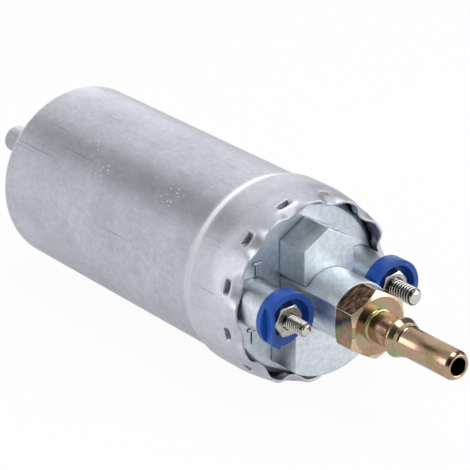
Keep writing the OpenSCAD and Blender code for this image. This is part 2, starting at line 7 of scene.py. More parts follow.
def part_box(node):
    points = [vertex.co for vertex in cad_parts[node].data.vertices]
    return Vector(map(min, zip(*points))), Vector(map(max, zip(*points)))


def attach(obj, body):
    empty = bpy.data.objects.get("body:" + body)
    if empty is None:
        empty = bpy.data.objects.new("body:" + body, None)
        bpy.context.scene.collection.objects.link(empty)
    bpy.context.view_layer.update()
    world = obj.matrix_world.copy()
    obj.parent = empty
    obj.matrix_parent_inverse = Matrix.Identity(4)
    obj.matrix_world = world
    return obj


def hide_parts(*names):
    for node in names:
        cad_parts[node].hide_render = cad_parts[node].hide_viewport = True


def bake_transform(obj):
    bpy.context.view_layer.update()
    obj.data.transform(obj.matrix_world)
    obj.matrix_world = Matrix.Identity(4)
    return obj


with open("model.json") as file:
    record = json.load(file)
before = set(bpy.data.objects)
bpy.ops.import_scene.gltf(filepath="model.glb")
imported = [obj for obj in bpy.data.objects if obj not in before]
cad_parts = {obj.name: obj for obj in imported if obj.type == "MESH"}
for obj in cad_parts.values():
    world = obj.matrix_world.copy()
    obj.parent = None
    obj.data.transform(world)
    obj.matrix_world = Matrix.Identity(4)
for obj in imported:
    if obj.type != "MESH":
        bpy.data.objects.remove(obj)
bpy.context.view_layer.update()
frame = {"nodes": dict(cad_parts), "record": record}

scene = bpy.context.scene
nodes = frame["nodes"]
mm = 0.001
root = "pump"  # body that everything fixed rides on
print("frame loaded:", len(nodes), "nodes")


def boxMm(node):
    # lowest and highest corner of a CAD node at rest, in millimetres
    return [[round(c / mm, 3) for c in corner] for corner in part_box(node)]


# Stations along the pump axis and places beside it, in millimetres, read from the frame
terminal = boxMm("insulator_plus")
termAt = terminal[0][0]  # top of the terminal bosses
termY = (terminal[0][1] + terminal[1][1]) / 2  # each terminal from the axis, sideways
termZ = (terminal[0][2] + terminal[1][2]) / 2  # and above it
nutBack = boxMm("nut_plus")[0][0]  # floor of the nut's pocket
hexAt = boxMm("sealing_washer")[1][0]  # back of the outlet hexagon
rearAt = boxMm("housing_shell")[0][0]  # back of the can
flareAt = rearAt + 89.0  # the can starts to flare here
faceAt = flareAt + 18.2  # front of the cap's base


def toLinear(hexText):
    parts = [int(hexText[i:i + 2], 16) / 255 for i in (1, 3, 5)]
    return tuple(c / 12.92 if c < 0.04045 else ((c + 0.055) / 1.055) ** 2.4 for c in parts) + (1.0,)


def scaleOf(sizeMm):
    # texture scale that gives a pattern of this many millimetres
    return 1 / (sizeMm * mm)


def fillRamp(ramp, stops):
    # each stop is a place and a hex colour or a grey value
    while len(ramp.elements) < len(stops):
        ramp.elements.new(0.5)
    for element, (place, value) in zip(ramp.elements, stops):
        element.position = place
        element.color = toLinear(value) if isinstance(value, str) else (value, value, value, 1)


def addNode(tree, kind, settings=None, links=None):
    # a setting is a socket by name or number, a property of the node, or the stops of a ramp
    node = tree.nodes.new("ShaderNode" + kind)
    for key, value in (settings or {}).items():
        if key == "stops":
            fillRamp(node.color_ramp, value)
        elif isinstance(key, int) or key in node.inputs:
            node.inputs[key].default_value = value
        else:
            setattr(node, key, value)
    for key, source in (links or {}).items():
        tree.links.new(source, node.inputs[key])
    return node


def newMaterial(name):
    mat = bpy.data.materials.new(name)
    mat.use_nodes = True
    mat.node_tree.nodes.clear()
    return mat, mat.node_tree


def closeMaterial(tree, settings, links):
    shader = addNode(tree, "BsdfPrincipled", settings, links)
    addNode(tree, "OutputMaterial", links={"Surface": shader.outputs["BSDF"]})


# Finishes

def drawnAluminium():
    # deep-drawn can, tumbled and left bare: satin grey with a fine mottle and length marks, pitted where it
    # was knocked, with a painted highlight at the flare and painted light on the skirt, duller along the
    # crimp
    look = dict(base="#d0d2dc", rubbedAndEdgeHighlight="#b9bbc5", streak="#a6a9b2", scored="#83868f", fleck="#eff0f4",
                flareHighlight="#f0f2f8", rough=0.36, grainMm=0.36, lengthMm=4.5, mottleMm=1.5, cloudMm=10,
                stainMm=34, fleckMm=0.95, fleckLong=0.75, scoreMm=38, scoreWideMm=0.55, radiusMm=26,
                flareMidMm=2.3, brightMm=0.8, dullMm=3.4, skirtLightMm=2.5, crimpMm=8, crimpFadeMm=4,
                # knocks as station, degrees from the top and reach
                knocks=[(-12, 31, 8), (-3, 45, 6), (0, 57, 4), (28, 42, 6), (-27, 21, 8)])
    mat, tree = newMaterial("drawnAluminium")
    place = addNode(tree, "TexCoord").outputs["Object"]

    # length marks left by the die, drawn coarser than the real ones so that they show
    lengthScale, grainScale = scaleOf(look["lengthMm"]), scaleOf(look["grainMm"])
    along = addNode(tree, "Mapping", {"Scale": (lengthScale, grainScale, grainScale)}, {"Vector": place})
    marks = addNode(tree, "TexNoise", {"Scale": 1, "Detail": 4, "Roughness": 0.65},
                    {"Vector": along.outputs["Vector"]}).outputs["Fac"]
    streaks = addNode(tree, "ValToRGB", {"stops": [(0.50, 0.0), (0.74, 0.5)]}, {0: marks}).outputs["Color"]

    # a few longer scores
    scoreScale, scoreAcross = scaleOf(look["scoreMm"]), scaleOf(look["scoreWideMm"])
    drawnOut = addNode(tree, "Mapping", {"Scale": (scoreScale, scoreAcross, scoreAcross)}, {"Vector": place})
    scores = addNode(tree, "TexNoise", {"Scale": 1, "Detail": 1}, {"Vector": drawnOut.outputs["Vector"]})
    scored = addNode(tree, "ValToRGB", {"stops": [(0.70, 0.0), (0.76, 0.55)]}, {0: scores.outputs["Fac"]})

    # mottle, clouds and broad stains share the tone
    cloud = addNode(tree, "TexNoise", {"Scale": scaleOf(look["cloudMm"]), "Detail": 6, "Roughness": 0.68},
                    {"Vector": place}).outputs["Fac"]
    stain = addNode(tree, "TexNoise", {"Scale": scaleOf(look["stainMm"]), "Detail": 5, "Roughness": 0.6},
                    {"Vector": place}).outputs["Fac"]
    mottle = addNode(tree, "TexNoise", {"Scale": scaleOf(look["mottleMm"]), "Detail": 5, "Roughness": 0.75},
                     {"Vector": place}).outputs["Fac"]
    large = addNode(tree, "Mix", {"data_type": "FLOAT", 0: 0.55}, {2: cloud, 3: stain}).outputs[0]
    both = addNode(tree, "Mix", {"data_type": "FLOAT", 0: 0.40}, {2: large, 3: mottle}).outputs[0]
    # mottle between the base and the darker rubbed tone
    tone = addNode(tree, "ValToRGB", {"stops": [(0.41, look["base"]), (0.59, look["rubbedAndEdgeHighlight"])]}, {0: both})

    # pits, thinned out, where the sheet was rubbed or knocked
    rubs = addNode(tree, "ValToRGB", {"stops": [(0.62, 0.0), (0.70, 0.5)]}, {0: cloud}).outputs["Color"]
    for station, degrees, reach in look["knocks"]:
        a = math.radians(degrees)
        radius = look["radiusMm"] * mm
        spot = (station * mm, -radius * math.sin(a), radius * math.cos(a))
        far = addNode(tree, "VectorMath", {"operation": "DISTANCE", 1: spot}, {0: place}).outputs["Value"]
        near = addNode(tree, "MapRange", {"From Min": reach * mm, "From Max": reach * 0.3 * mm},
                       {"Value": far}).outputs["Result"]
        rubs = addNode(tree, "Math", {"operation": "MAXIMUM"}, {0: rubs, 1: near}).outputs[0]
    fleckScale = scaleOf(look["fleckMm"])
    spread = addNode(tree, "Mapping", {"Scale": (look["fleckLong"] * fleckScale, fleckScale, fleckScale)},
                     {"Vector": place}).outputs["Vector"]
    spots = addNode(tree, "TexVoronoi", {"Scale": 1}, {"Vector": spread}).outputs["Distance"]
    spotMask = addNode(tree, "ValToRGB", {"stops": [(0.13, 0.7), (0.27, 0.0)]}, {0: spots}).outputs["Color"]
    thinned = addNode(tree, "ValToRGB", {"stops": [(0.47, 0.0), (0.57, 1.0)]}, {0: marks}).outputs["Color"]
    dense = addNode(tree, "Math", {"operation": "MULTIPLY"}, {0: rubs, 1: thinned}).outputs[0]
    pitted = addNode(tree, "Math", {"operation": "MULTIPLY"}, {0: spotMask, 1: dense}).outputs[0]

    # painted highlight on the flare, and painted light on the skirt in front of it
    lengthwise = addNode(tree, "SeparateXYZ", links={0: place}).outputs["X"]
    ahead = addNode(tree, "Math", {"operation": "SUBTRACT", 1: (flareAt + look["flareMidMm"]) * mm},
                    {0: lengthwise}).outputs[0]
    apart = addNode(tree, "Math", {"operation": "ABSOLUTE"}, {0: ahead}).outputs[0]
    shine = addNode(tree, "MapRange", {"interpolation_type": "SMOOTHSTEP", "From Min": look["brightMm"] * mm,
                                       "From Max": look["dullMm"] * mm, "To Min": 0.5, "To Max": 0.0},
                    {"Value": apart}).outputs["Result"]
    paintedSkirtLight = addNode(tree, "MapRange", {"From Min": 0.0, "From Max": look["skirtLightMm"] * mm, "To Max": 0.2},
                     {"Value": ahead}).outputs["Result"]
    # painted highlight and painted skirt light together
    pressed = addNode(tree, "Math", {"operation": "MAXIMUM"}, {0: shine, 1: paintedSkirtLight}).outputs[0]

    # the third mix below paints the highlight on the flare and the lighter skirt
    colour = tone.outputs["Color"]
    for shade, mask in (("streak", streaks), ("scored", scored.outputs["Color"]), ("flareHighlight", pressed),
                        ("fleck", pitted)):
        colour = addNode(tree, "Mix", {"data_type": "RGBA", 7: toLinear(look[shade])},
                         {0: mask, 6: colour}).outputs[2]
    worn = addNode(tree, "MapRange", {"To Min": look["rough"] - 0.1, "To Max": look["rough"] + 0.14},
                   {"Value": marks}).outputs["Result"]
    crimped = addNode(tree, "MapRange", {"From Min": look["crimpMm"] * mm, "To Max": 0.13,
                                         "From Max": (look["crimpMm"] + look["crimpFadeMm"]) * mm},
                      {"Value": ahead})
    rough = addNode(tree, "Math", {"operation": "ADD"}, {0: worn, 1: crimped.outputs["Result"]}).outputs[0]
    bump = addNode(tree, "Bump", {"Strength": 0.35, "Distance": 0.05 * mm}, {"Height": marks})
    dents = addNode(tree, "Bump", {"Strength": 0.9, "Distance": 0.15 * mm, "invert": True},
                    {"Height": pitted, "Normal": bump.outputs["Normal"]}).outputs["Normal"]
    closeMaterial(tree, {"Metallic": 1.0}, {"Base Color": colour, "Roughness": rough, "Normal": dents})
    return mat


def castZinc():
    # die-cast alloy, unmachined: cool pale grey with a fine grain, edges painted bright as highlights,
    # painted shade in the corners
    # the real grain is finer, this one is as coarse as it needs to be to show
    look = dict(pale="#e7edf3", cool="#ccd6de", stain="#7c8893", cornerShade="#2a323b", rubbedAndEdgeHighlight="#f6f9fb", rough=0.31,
                grainMm=0.28, speckMm=0.45, cloudMm=1.6, cornerShadeMm=0.95, edgeMm=0.42)
    mat, tree = newMaterial("castZinc")
    place = addNode(tree, "TexCoord").outputs["Object"]
    grain = addNode(tree, "TexNoise", {"Scale": scaleOf(look["grainMm"]), "Detail": 3, "Roughness": 0.6},
                    {"Vector": place}).outputs["Fac"]
    cloud = addNode(tree, "TexNoise", {"Scale": scaleOf(look["cloudMm"]), "Detail": 6, "Roughness": 0.65},
                    {"Vector": place}).outputs["Fac"]
    speck = addNode(tree, "TexNoise", {"Scale": scaleOf(look["speckMm"]), "Detail": 2},
                    {"Vector": place}).outputs["Fac"]
    dots = addNode(tree, "ValToRGB", {"stops": [(0.68, 0.0), (0.75, 0.8)]}, {0: speck}).outputs["Color"]

    # an edge is where the softened normal leaves the true one and gets a painted highlight; painted shade
    # goes where little sky is seen
    softened = addNode(tree, "Bevel", {"Radius": look["edgeMm"] * mm, "samples": 6}).outputs["Normal"]
    facing = addNode(tree, "NewGeometry").outputs["Normal"]
    alike = addNode(tree, "VectorMath", {"operation": "DOT_PRODUCT"},
                    {0: softened, 1: facing}).outputs["Value"]
    edges = addNode(tree, "ValToRGB", {"stops": [(0.86, 0.85), (0.985, 0.0)]}, {0: alike}).outputs["Color"]
    clear = addNode(tree, "AmbientOcclusion", {"Distance": look["cornerShadeMm"] * mm, "samples": 8}).outputs["AO"]
    cornerShadeMask = addNode(tree, "ValToRGB", {"stops": [(0.42, 0.95), (0.78, 0.0)]}, {0: clear}).outputs["Color"]

    tone = addNode(tree, "ValToRGB", {"stops": [(0.36, look["pale"]), (0.68, look["cool"])]},
                   {0: cloud}).outputs["Color"]
    # the last two mixes are a painted highlight on the edges and painted shade in the corners
    for shade, mask in (("stain", dots), ("rubbedAndEdgeHighlight", edges), ("cornerShade", cornerShadeMask)):
        tone = addNode(tree, "Mix", {"data_type": "RGBA", 7: toLinear(look[shade])},
                       {0: mask, 6: tone}).outputs[2]
    rough = addNode(tree, "MapRange", {"To Min": look["rough"] - 0.05, "To Max": look["rough"] + 0.18},
                    {"Value": grain}).outputs["Result"]
    bump = addNode(tree, "Bump", {"Strength": 0.5, "Distance": 0.10 * mm},
                   {"Height": grain, "Normal": softened}).outputs["Normal"]
    closeMaterial(tree, {"Metallic": 1.0}, {"Base Color": tone, "Roughness": rough, "Normal": bump})
    return mat


def yellowZinc():
    # yellow-chromated zinc on turned steel: gold with rose and green where the film is thicker, and the flats
    # of the hexagon brown and scuffed where the bar was drawn and oiled, darker on the upward-facing ones as
    # painted shade
    look = dict(film=[(0.26, "#94805f"), (0.40, "#ad9370"), (0.48, "#bd9b88"), (0.55, "#b2a07f"),
                      (0.63, "#98ab7f"), (0.80, "#9c8a6c")],
                bar=[(0.36, "#2f241f"), (0.50, "#5e463a"), (0.72, "#b39a80")],
                rough=0.16, bandMm=7, speckMm=0.6, smearMm=1.1, turnedMm=0.12, roundMm=25, flatsMm=8.3)
    mat, tree = newMaterial("yellowZinc")
    place = addNode(tree, "TexCoord").outputs["Object"]
    cloud = addNode(tree, "TexNoise", {"Scale": scaleOf(look["bandMm"]), "Detail": 3, "Roughness": 0.5,
                                       "Distortion": 0.6}, {"Vector": place}).outputs["Fac"]
    speck = addNode(tree, "TexNoise", {"Scale": scaleOf(look["speckMm"]), "Detail": 4},
                    {"Vector": place}).outputs["Fac"]
    both = addNode(tree, "Mix", {"data_type": "FLOAT", 0: 0.3}, {2: cloud, 3: speck}).outputs[0]
    turnedFilm = addNode(tree, "ValToRGB", {"stops": look["film"]}, {0: both})
    turnedFilm.color_ramp.interpolation = "EASE"

    # a flat faces sideways and lies outside the hexagon's turned parts; the upward-facing ones take more of
    # the dark scuffed tone, as painted shade
    trueNormal = addNode(tree, "NewGeometry").outputs["True Normal"]
    flank = addNode(tree, "SeparateXYZ", links={0: trueNormal})
    lean = addNode(tree, "Math", {"operation": "ABSOLUTE"}, {0: flank.outputs["X"]}).outputs[0]
    flat = addNode(tree, "ValToRGB", {"stops": [(0.05, 1.0), (0.2, 0.0)]}, {0: lean}).outputs["Color"]
    inPlane = addNode(tree, "VectorMath", {"operation": "MULTIPLY", 1: (0, 1, 1)},
                      {0: place}).outputs["Vector"]
    away = addNode(tree, "VectorMath", {"operation": "LENGTH"}, {0: inPlane}).outputs["Value"]
    outside = addNode(tree, "Math", {"operation": "GREATER_THAN", 1: look["flatsMm"] * mm},
                      {0: away}).outputs[0]
    paintedTopShade = addNode(tree, "MapRange", {"From Min": 0.0, "From Max": 0.4, "To Min": 0.45, "To Max": 1.0},
                    {"Value": flank.outputs["Z"]}).outputs["Result"]
    onFlats = addNode(tree, "Math", {"operation": "MULTIPLY"}, {0: flat, 1: outside}).outputs[0]
    scuffedAndShadedFlats = addNode(tree, "Math", {"operation": "MULTIPLY"}, {0: onFlats, 1: paintedTopShade}).outputs[0]

    smearScale = scaleOf(look["smearMm"])
    drag = addNode(tree, "Mapping", {"Scale": (smearScale, 0.6 * smearScale, 0.6 * smearScale)},
                   {"Vector": place}).outputs["Vector"]
    smear = addNode(tree, "TexNoise", {"Scale": 1, "Detail": 5, "Roughness": 0.7},
                    {"Vector": drag}).outputs["Fac"]
    scuffed = addNode(tree, "ValToRGB", {"stops": look["bar"]}, {0: smear}).outputs["Color"]
    # the flats get the scuffed bar tone, darker on the upward-facing ones as painted shade
    film = addNode(tree, "Mix", {"data_type": "RGBA"},
                   {0: scuffedAndShadedFlats, 6: turnedFilm.outputs["Color"], 7: scuffed}).outputs[2]

    # turning rings of a fine feed
    roundScale = scaleOf(look["roundMm"])
    turned = addNode(tree, "Mapping", {"Scale": (scaleOf(look["turnedMm"]), roundScale, roundScale)},
                     {"Vector": place}).outputs["Vector"]
    rings = addNode(tree, "TexNoise", {"Scale": 1, "Detail": 2}, {"Vector": turned}).outputs["Fac"]
    rough = addNode(tree, "MapRange", {"To Min": look["rough"] - 0.06, "To Max": look["rough"] + 0.12},
                    {"Value": speck}).outputs["Result"]
    bump = addNode(tree, "Bump", {"Strength": 0.12, "Distance": 0.03 * mm}, {"Height": rings})
    closeMaterial(tree, {"Metallic": 1.0},
                  {"Base Color": film, "Roughness": rough, "Normal": bump.outputs["Normal"]})
    return mat


def plainMetal(name, base, dark, rough, grainMm, bumpMm):
    # one metal in two tones, with a fine grain
    mat, tree = newMaterial(name)
    place = addNode(tree, "TexCoord").outputs["Object"]
    grain = addNode(tree, "TexNoise", {"Scale": scaleOf(grainMm), "Detail": 4, "Roughness": 0.6},
                    {"Vector": place}).outputs["Fac"]
    tone = addNode(tree, "ValToRGB", {"stops": [(0.35, base), (0.7, dark)]}, {0: grain}).outputs["Color"]
    wear = addNode(tree, "MapRange", {"To Min": rough - 0.06, "To Max": rough + 0.1}, {"Value": grain})
    bump = addNode(tree, "Bump", {"Strength": 0.2, "Distance": bumpMm * mm}, {"Height": grain})
    closeMaterial(tree, {"Metallic": 1.0}, {"Base Color": tone, "Roughness": wear.outputs["Result"],
                                            "Normal": bump.outputs["Normal"]})
    return mat


def plainPlastic(name, base, deep, rough, grainMm=0.4, bumpMm=0.02, ior=1.5):
    # moulded part: nearly even colour, faint flow marks, soft gloss
    flowMm = 4
    mat, tree = newMaterial(name)
    place = addNode(tree, "TexCoord").outputs["Object"]
    flow = addNode(tree, "TexNoise", {"Scale": scaleOf(flowMm), "Detail": 3}, {"Vector": place})
    grain = addNode(tree, "TexNoise", {"Scale": scaleOf(grainMm), "Detail": 3}, {"Vector": place})
    tone = addNode(tree, "ValToRGB", {"stops": [(0.35, base), (0.7, deep)]}, {0: flow.outputs["Fac"]})
    bump = addNode(tree, "Bump", {"Strength": 0.2, "Distance": bumpMm * mm}, {"Height": grain.outputs["Fac"]})
    closeMaterial(tree, {"Roughness": rough, "IOR": ior},
                  {"Base Color": tone.outputs["Color"], "Normal": bump.outputs["Normal"]})
    return mat


def rolledThread():
    # nickel-plated rolled thread: bright crests, painted shade with some grime down in the roots, none at the
    # tip
    look = dict(crest="#d6d3ce", root="#3d3936", rough=0.2, minusMm=2.0, plusMm=2.5, crestMm=0.08, rootMm=0.3,
                endMm=10.9, fadeMm=0.4, plusLongerMm=1.1)
    mat, tree = newMaterial("rolledThread")
    place = addNode(tree, "TexCoord").outputs["Object"]
    apart = addNode(tree, "SeparateXYZ", links={0: place})

    # depth under the crest, from the axis of the nearer stud
    sideways = addNode(tree, "Math", {"operation": "ABSOLUTE"}, {0: apart.outputs["Y"]}).outputs[0]
    centred = addNode(tree, "CombineXYZ", {"X": 0}, {"Y": sideways, "Z": apart.outputs["Z"]}).outputs[0]
    away = addNode(tree, "VectorMath", {"operation": "DISTANCE", 1: (0, termY * mm, termZ * mm)},
                   {0: centred}).outputs["Value"]
    right = addNode(tree, "Math", {"operation": "GREATER_THAN", 1: 0.0}, {0: apart.outputs["Y"]}).outputs[0]
    full = addNode(tree, "MapRange", {"To Min": look["minusMm"] * mm, "To Max": look["plusMm"] * mm},
                   {"Value": right}).outputs["Result"]
    sunk = addNode(tree, "Math", {"operation": "SUBTRACT"}, {0: full, 1: away}).outputs[0]
    shade = addNode(tree, "MapRange", {"From Min": look["crestMm"] * mm, "From Max": look["rootMm"] * mm,
                                       "To Min": 0, "To Max": 1}, {"Value": sunk}).outputs["Result"]

    # no painted root shade on the end faces, nor on the chamfer at the tip
    trueNormal = addNode(tree, "NewGeometry").outputs["True Normal"]
    front = addNode(tree, "SeparateXYZ", links={0: trueNormal}).outputs["X"]
    onSide = addNode(tree, "ValToRGB", {"stops": [(0.9, 1.0), (0.97, 0.0)]}, {0: front}).outputs["Color"]
    longer = addNode(tree, "Math", {"operation": "MULTIPLY", 1: look["plusLongerMm"] * mm},
                     {0: right}).outputs[0]
    reach = addNode(tree, "Math", {"operation": "SUBTRACT"}, {0: apart.outputs["X"], 1: longer}).outputs[0]
    end = termAt + look["endMm"]
    behind = addNode(tree, "MapRange", {"From Min": end * mm, "From Max": (end + look["fadeMm"]) * mm,
                                        "To Min": 1, "To Max": 0}, {"Value": reach}).outputs["Result"]
    inThread = addNode(tree, "Math", {"operation": "MULTIPLY"}, {0: shade, 1: onSide}).outputs[0]
    dark = addNode(tree, "Math", {"operation": "MULTIPLY"}, {0: inThread, 1: behind}).outputs[0]
    # the root colour is painted shade, with some grime
    tone = addNode(tree, "Mix", {"data_type": "RGBA", 6: toLinear(look["crest"]), 7: toLinear(look["root"])},
                   {0: dark}).outputs[2]
    closeMaterial(tree, {"Metallic": 1.0, "Roughness": look["rough"]}, {"Base Color": tone})
    return mat


threadFinish = rolledThread()
edgeGlint = plainMetal("paintedEdgeGlint", "#e6d3b4", "#cdb48e", 0.2, 0.4, 0.01)  # pale corners and chamfer edges of the outlet hexagon: painted edge highlights
shearedSlot = plainMetal("shearedSlot", "#9d9b9e", "#3d3d41", 0.4, 0.35, 0.06)  # torn dull face of a mark
finishes = {
    "can": drawnAluminium(),
    "cast": castZinc(),
    "yellow_zinc": yellowZinc(),
    "nickel": plainMetal("brightNickel", "#c9c6c2", "#a19e99", 0.24, 0.5, 0.02),  # warm and bright
    "cover": plainMetal("turnedAluminium", "#b9bbc3", "#9fa1aa", 0.34, 0.4, 0.03),  # lathe-turned, duller
    "steel": plainMetal("groundSteel", "#a9a9ac", "#8c8c90", 0.3, 0.3, 0.02),  # even grey with a soft shine
    "sintered": plainMetal("sinteredSteel", "#8e8c8a", "#6b6a69", 0.5, 0.25, 0.05),  # pressed powder, grainy
    "spring_steel": plainMetal("springWire", "#b9b9bb", "#98989b", 0.25, 0.2, 0.01),  # drawn wire, smooth
    "bronze": plainMetal("oilBronze", "#a87c4b", "#7d5a34", 0.45, 0.25, 0.04),  # porous, brown with oil
    "brass": plainMetal("rolledBrass", "#cdb06a", "#b0924f", 0.28, 0.4, 0.02),  # yellow strip, softly bright
    "copper": plainMetal("bareCopper", "#c98a62", "#a5653f", 0.32, 0.3, 0.02),  # salmon, slightly tarnished
    "ferrite": plainPlastic("groundFerrite", "#3b3b3e", "#2c2c2e", 0.45, 0.2, 0.04, 2.2),  # ground, charcoal
    "carbon": plainPlastic("carbonBrush", "#2c2c2f", "#1f1f22", 0.55, 0.2, 0.04, 1.8),  # pressed, matt black
    "phenolic": plainPlastic("mouldedPhenolic", "#3a2419", "#2a1910", 0.4, 0.3, 0.02, 1.6),  # dark brown
    "holder_plastic": plainPlastic("filledNylon", "#2a2d31", "#1f2225", 0.45),  # glass-filled, matt slate
    "blue_plastic": plainPlastic("blueNylon", "#1252b0", "#0e479c", 0.36, 0.5, 0.03, 1.5),  # deep, soft gloss
    "rubber": plainPlastic("fuelRubber", "#1b1b1c", "#141415", 0.6, 0.3, 0.03, 1.52),  # matt black
    "washer_white": plainPlastic("acetalWhite", "#dcdcd2", "#cfcfc4", 0.4),  # milky, smooth
}
print("finishes ready:", len(finishes))

# CAD nodes take the finish of their own material slot
for part in frame["record"]["subparts"]:
    shown = nodes[part["node"]]
    shown.data.materials.clear()
    shown.data.materials.append(finishes[part["material_slot"]])
nodes["sealing_washer"].data.materials[0] = finishes["cover"]  # the photo shows a pale ring there


def softenEdges(nodeName, width, segments=3, limit=28):
    obj = nodes[nodeName]
    joined = obj.modifiers.new("joined", "WELD")
    joined.merge_threshold = 0.002 * mm  # the frame's faces don't share their points
    bevel = obj.modifiers.new("edges", "BEVEL")
    bevel.width = width * mm
    bevel.segments = segments
    bevel.limit_method = "ANGLE"
    bevel.angle_limit = math.radians(limit)
    bevel.harden_normals = True
    bevel.use_clamp_overlap = True


def gridPiece(name, rows, finish, closedAcross=True, sharp=35, stands=()):
    # rows go round the axis; each row is one section of (x, y, z) in millimetres
    count, width = len(rows), len(rows[0])
    verts = [(x * mm, y * mm, z * mm) for row in rows for x, y, z in row]
    last = width if closedAcross else width - 1
    faces = []
    for i in range(count):
        k = (i + 1) % count
        for j in range(last):
            n = (j + 1) % width
            faces.append((i * width + j, i * width + n, k * width + n, k * width + j))
    mesh = bpy.data.meshes.new(name)
    mesh.from_pydata(verts, [], faces)
    mesh.validate()
    mesh.shade_smooth()
    mesh.set_sharp_from_angle(angle=math.radians(sharp))
    obj = bpy.data.objects.new(name, mesh)
    scene.collection.objects.link(obj)
    mesh.materials.append(finishes[finish])
    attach(obj, root)
    if stands:
        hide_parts(*stands)
    return obj


def turnSection(section, count, centreY=0.0, centreZ=0.0):
    # section(angle) gives [(x, r), ...] round an axis at centreY, centreZ
    rows = []
    for i in range(count):
        a = 2 * math.pi * i / count
        rows.append([(x, centreY + r * math.cos(a), centreZ + r * math.sin(a)) for x, r in section(a)])
    return rows


def smoothStep(t):
    t = min(1.0, max(0.0, t))
    return t * t * (3 - 2 * t)


# Can: thin drawn sheet with a flared front, staked into the cap at twelve places

def makeCan():
    can = dict(radius=26.0, wall=1.2, rearCorner=2.0, cornerSteps=8, rearHole=9.2, floor=1.4, steps=720,
               # flare: how far on, and the share of it that is reached there
               flare=1.1, rise=[(0.5, 0.02), (0.9, 0.1), (1.4, 0.26), (2.2, 0.55), (3.0, 0.81), (3.6, 0.94),
                                (4.2, 0.99)],
               # rim, measured from the start of the flare: it tucks in, thins and ends in scallops
               rim=22.4, scallop=1.1, ripple=0.25, wave=0.10, waveAt=12, waveLong=6, tuck=1.15, tuckAt=11.0,
               tuckLong=11.2, edgeSheet=0.75, thinAt=15, thinLong=5,
               # rings of points as start, step and count, closest at the punch marks, and the last stretch
               rings=[(4.8, 0.304, 25), (12.4, 0.4, 11), (16.8, 0.13, 16)], lastAt=18.9, lastRings=15,
               insideFrom=30, insideStep=4,
               # punch marks, and the hollow in front of each that makes the scallop
               punches=12, punchHalf=7.0, hollow=0.36, hollowAt=13.0, hollowLong=4.0,
               markAt=17.25, markHalf=5.0, markDeep=1.25, shear=0.3, bottom=0.45, markLong=2.1,
               lip=0.2, lipAhead=0.3, lipLong=0.4, tornFrom=0.05, tornLong=0.8, tornHalf=4.2, tornDeep=0.5,
               pull=1.6, pullAt=19.3, pullLong=2.0)
    pitch = 360 / can["punches"]
    big = can["radius"] + can["flare"]

    def offPunch(deg):
        return abs(deg % pitch - pitch / 2)

    def wobble(angle, s, size):
        # hand-set punches never land alike
        return size * noise.noise(Vector((math.cos(angle) * 3, math.sin(angle) * 3, s * 0.18)))

    def skirt(s):
        # radius at s millimetres from the start of the flare, before the punches
        return big - can["tuck"] * max(0.0, (s - can["tuckAt"]) / can["tuckLong"]) ** 1.5

    def pressed(s, deg, dent):
        # a shallow hollow leads into the punch mark, which drops where the sheet sheared and rises in front
        lead = can["hollow"] * dent * smoothStep((s - can["hollowAt"]) / can["hollowLong"])
        mouth = max(0.0, 1 - (offPunch(deg) / can["markHalf"]) ** 2)
        past = s - can["markAt"]
        lip = can["lip"] * mouth * math.exp(-((past + can["lipAhead"]) / can["lipLong"]) ** 2)
        closing = 1 - smoothStep((past - can["bottom"]) / can["markLong"])
        cut = can["markDeep"] * mouth ** 0.8 * smoothStep(past / can["shear"]) * closing
        pull = can["pull"] * dent * max(0.0, (s - can["pullAt"]) / can["pullLong"]) ** 1.15
        return lead + cut - lip + pull

    def section(a):
        deg = math.degrees(a) % 360
        dent = math.exp(-(offPunch(deg) / can["punchHalf"]) ** 2.6)
        edge = can["rim"] - can["scallop"] * dent + wobble(a, 0, can["ripple"])
        samples = [start + step * k for start, step, count in can["rings"] for k in range(count)]
        samples += [can["lastAt"] + (edge - can["lastAt"]) * k / (can["lastRings"] - 1)
                    for k in range(can["lastRings"])]
        outer = []
        for s in samples:
            wavy = wobble(a, s, can["wave"] * smoothStep((s - can["waveAt"]) / can["waveLong"]))
            outer.append((s, skirt(s) - pressed(s, deg, dent) + wavy))
        body = [(rearAt, can["rearHole"])]
        for k in range(can["cornerSteps"] + 1):
            t = math.pi / 2 * k / can["cornerSteps"]
            body.append((rearAt + can["rearCorner"] * (1 - math.cos(t)),
                         can["radius"] - can["rearCorner"] * (1 - math.sin(t))))
        body += [(x, can["radius"]) for x in (-30.0, 0.0, 30.0, flareAt - 0.5)]
        body.append((flareAt, can["radius"] + 0.02))
        body += [(flareAt + s, can["radius"] + can["flare"] * share) for s, share in can["rise"]]
        body += [(flareAt + s, r) for s, r in outer]

        # round the edge and back along the inside
        thick = can["edgeSheet"]
        lastX, lastR = body[-1]
        body += [(lastX + 0.12, lastR - 0.14), (lastX + 0.14, lastR - thick / 2),
                 (lastX + 0.06, lastR - thick + 0.1)]
        for s, r in reversed(outer[can["insideFrom"]::can["insideStep"]]):
            sheet = can["wall"] - (can["wall"] - thick) * smoothStep((s - can["thinAt"]) / can["thinLong"])
            body.append((flareAt + s - 0.02, r - sheet))
        inside = can["radius"] - can["wall"]
        floorAt = rearAt + can["floor"]
        body += [(flareAt + 3.6, big - can["wall"]), (flareAt + 0.3, inside), (floorAt + 1, inside),
                 (floorAt, inside - 1), (floorAt, can["rearHole"])]
        return body

    rows = turnSection(section, can["steps"])
    piece = gridPiece("canShell", rows, "can", sharp=50, stands=("housing_shell",))
    piece.data.materials.append(shearedSlot)
    for face in piece.data.polygons:
        x, y, z = face.center / mm
        torn = x - flareAt - can["markAt"] - can["tornFrom"]
        off = offPunch(math.degrees(math.atan2(z, y)))
        sunk = math.hypot(y, z) < skirt(x - flareAt) - can["tornDeep"]
        if 0 < torn < can["tornLong"] and off < can["tornHalf"] and sunk:
            face.material_index = 1
    print("can:", len(piece.data.polygons), "faces")


# Studs: rolled metric threads with a short chamfer, and the bare shank behind

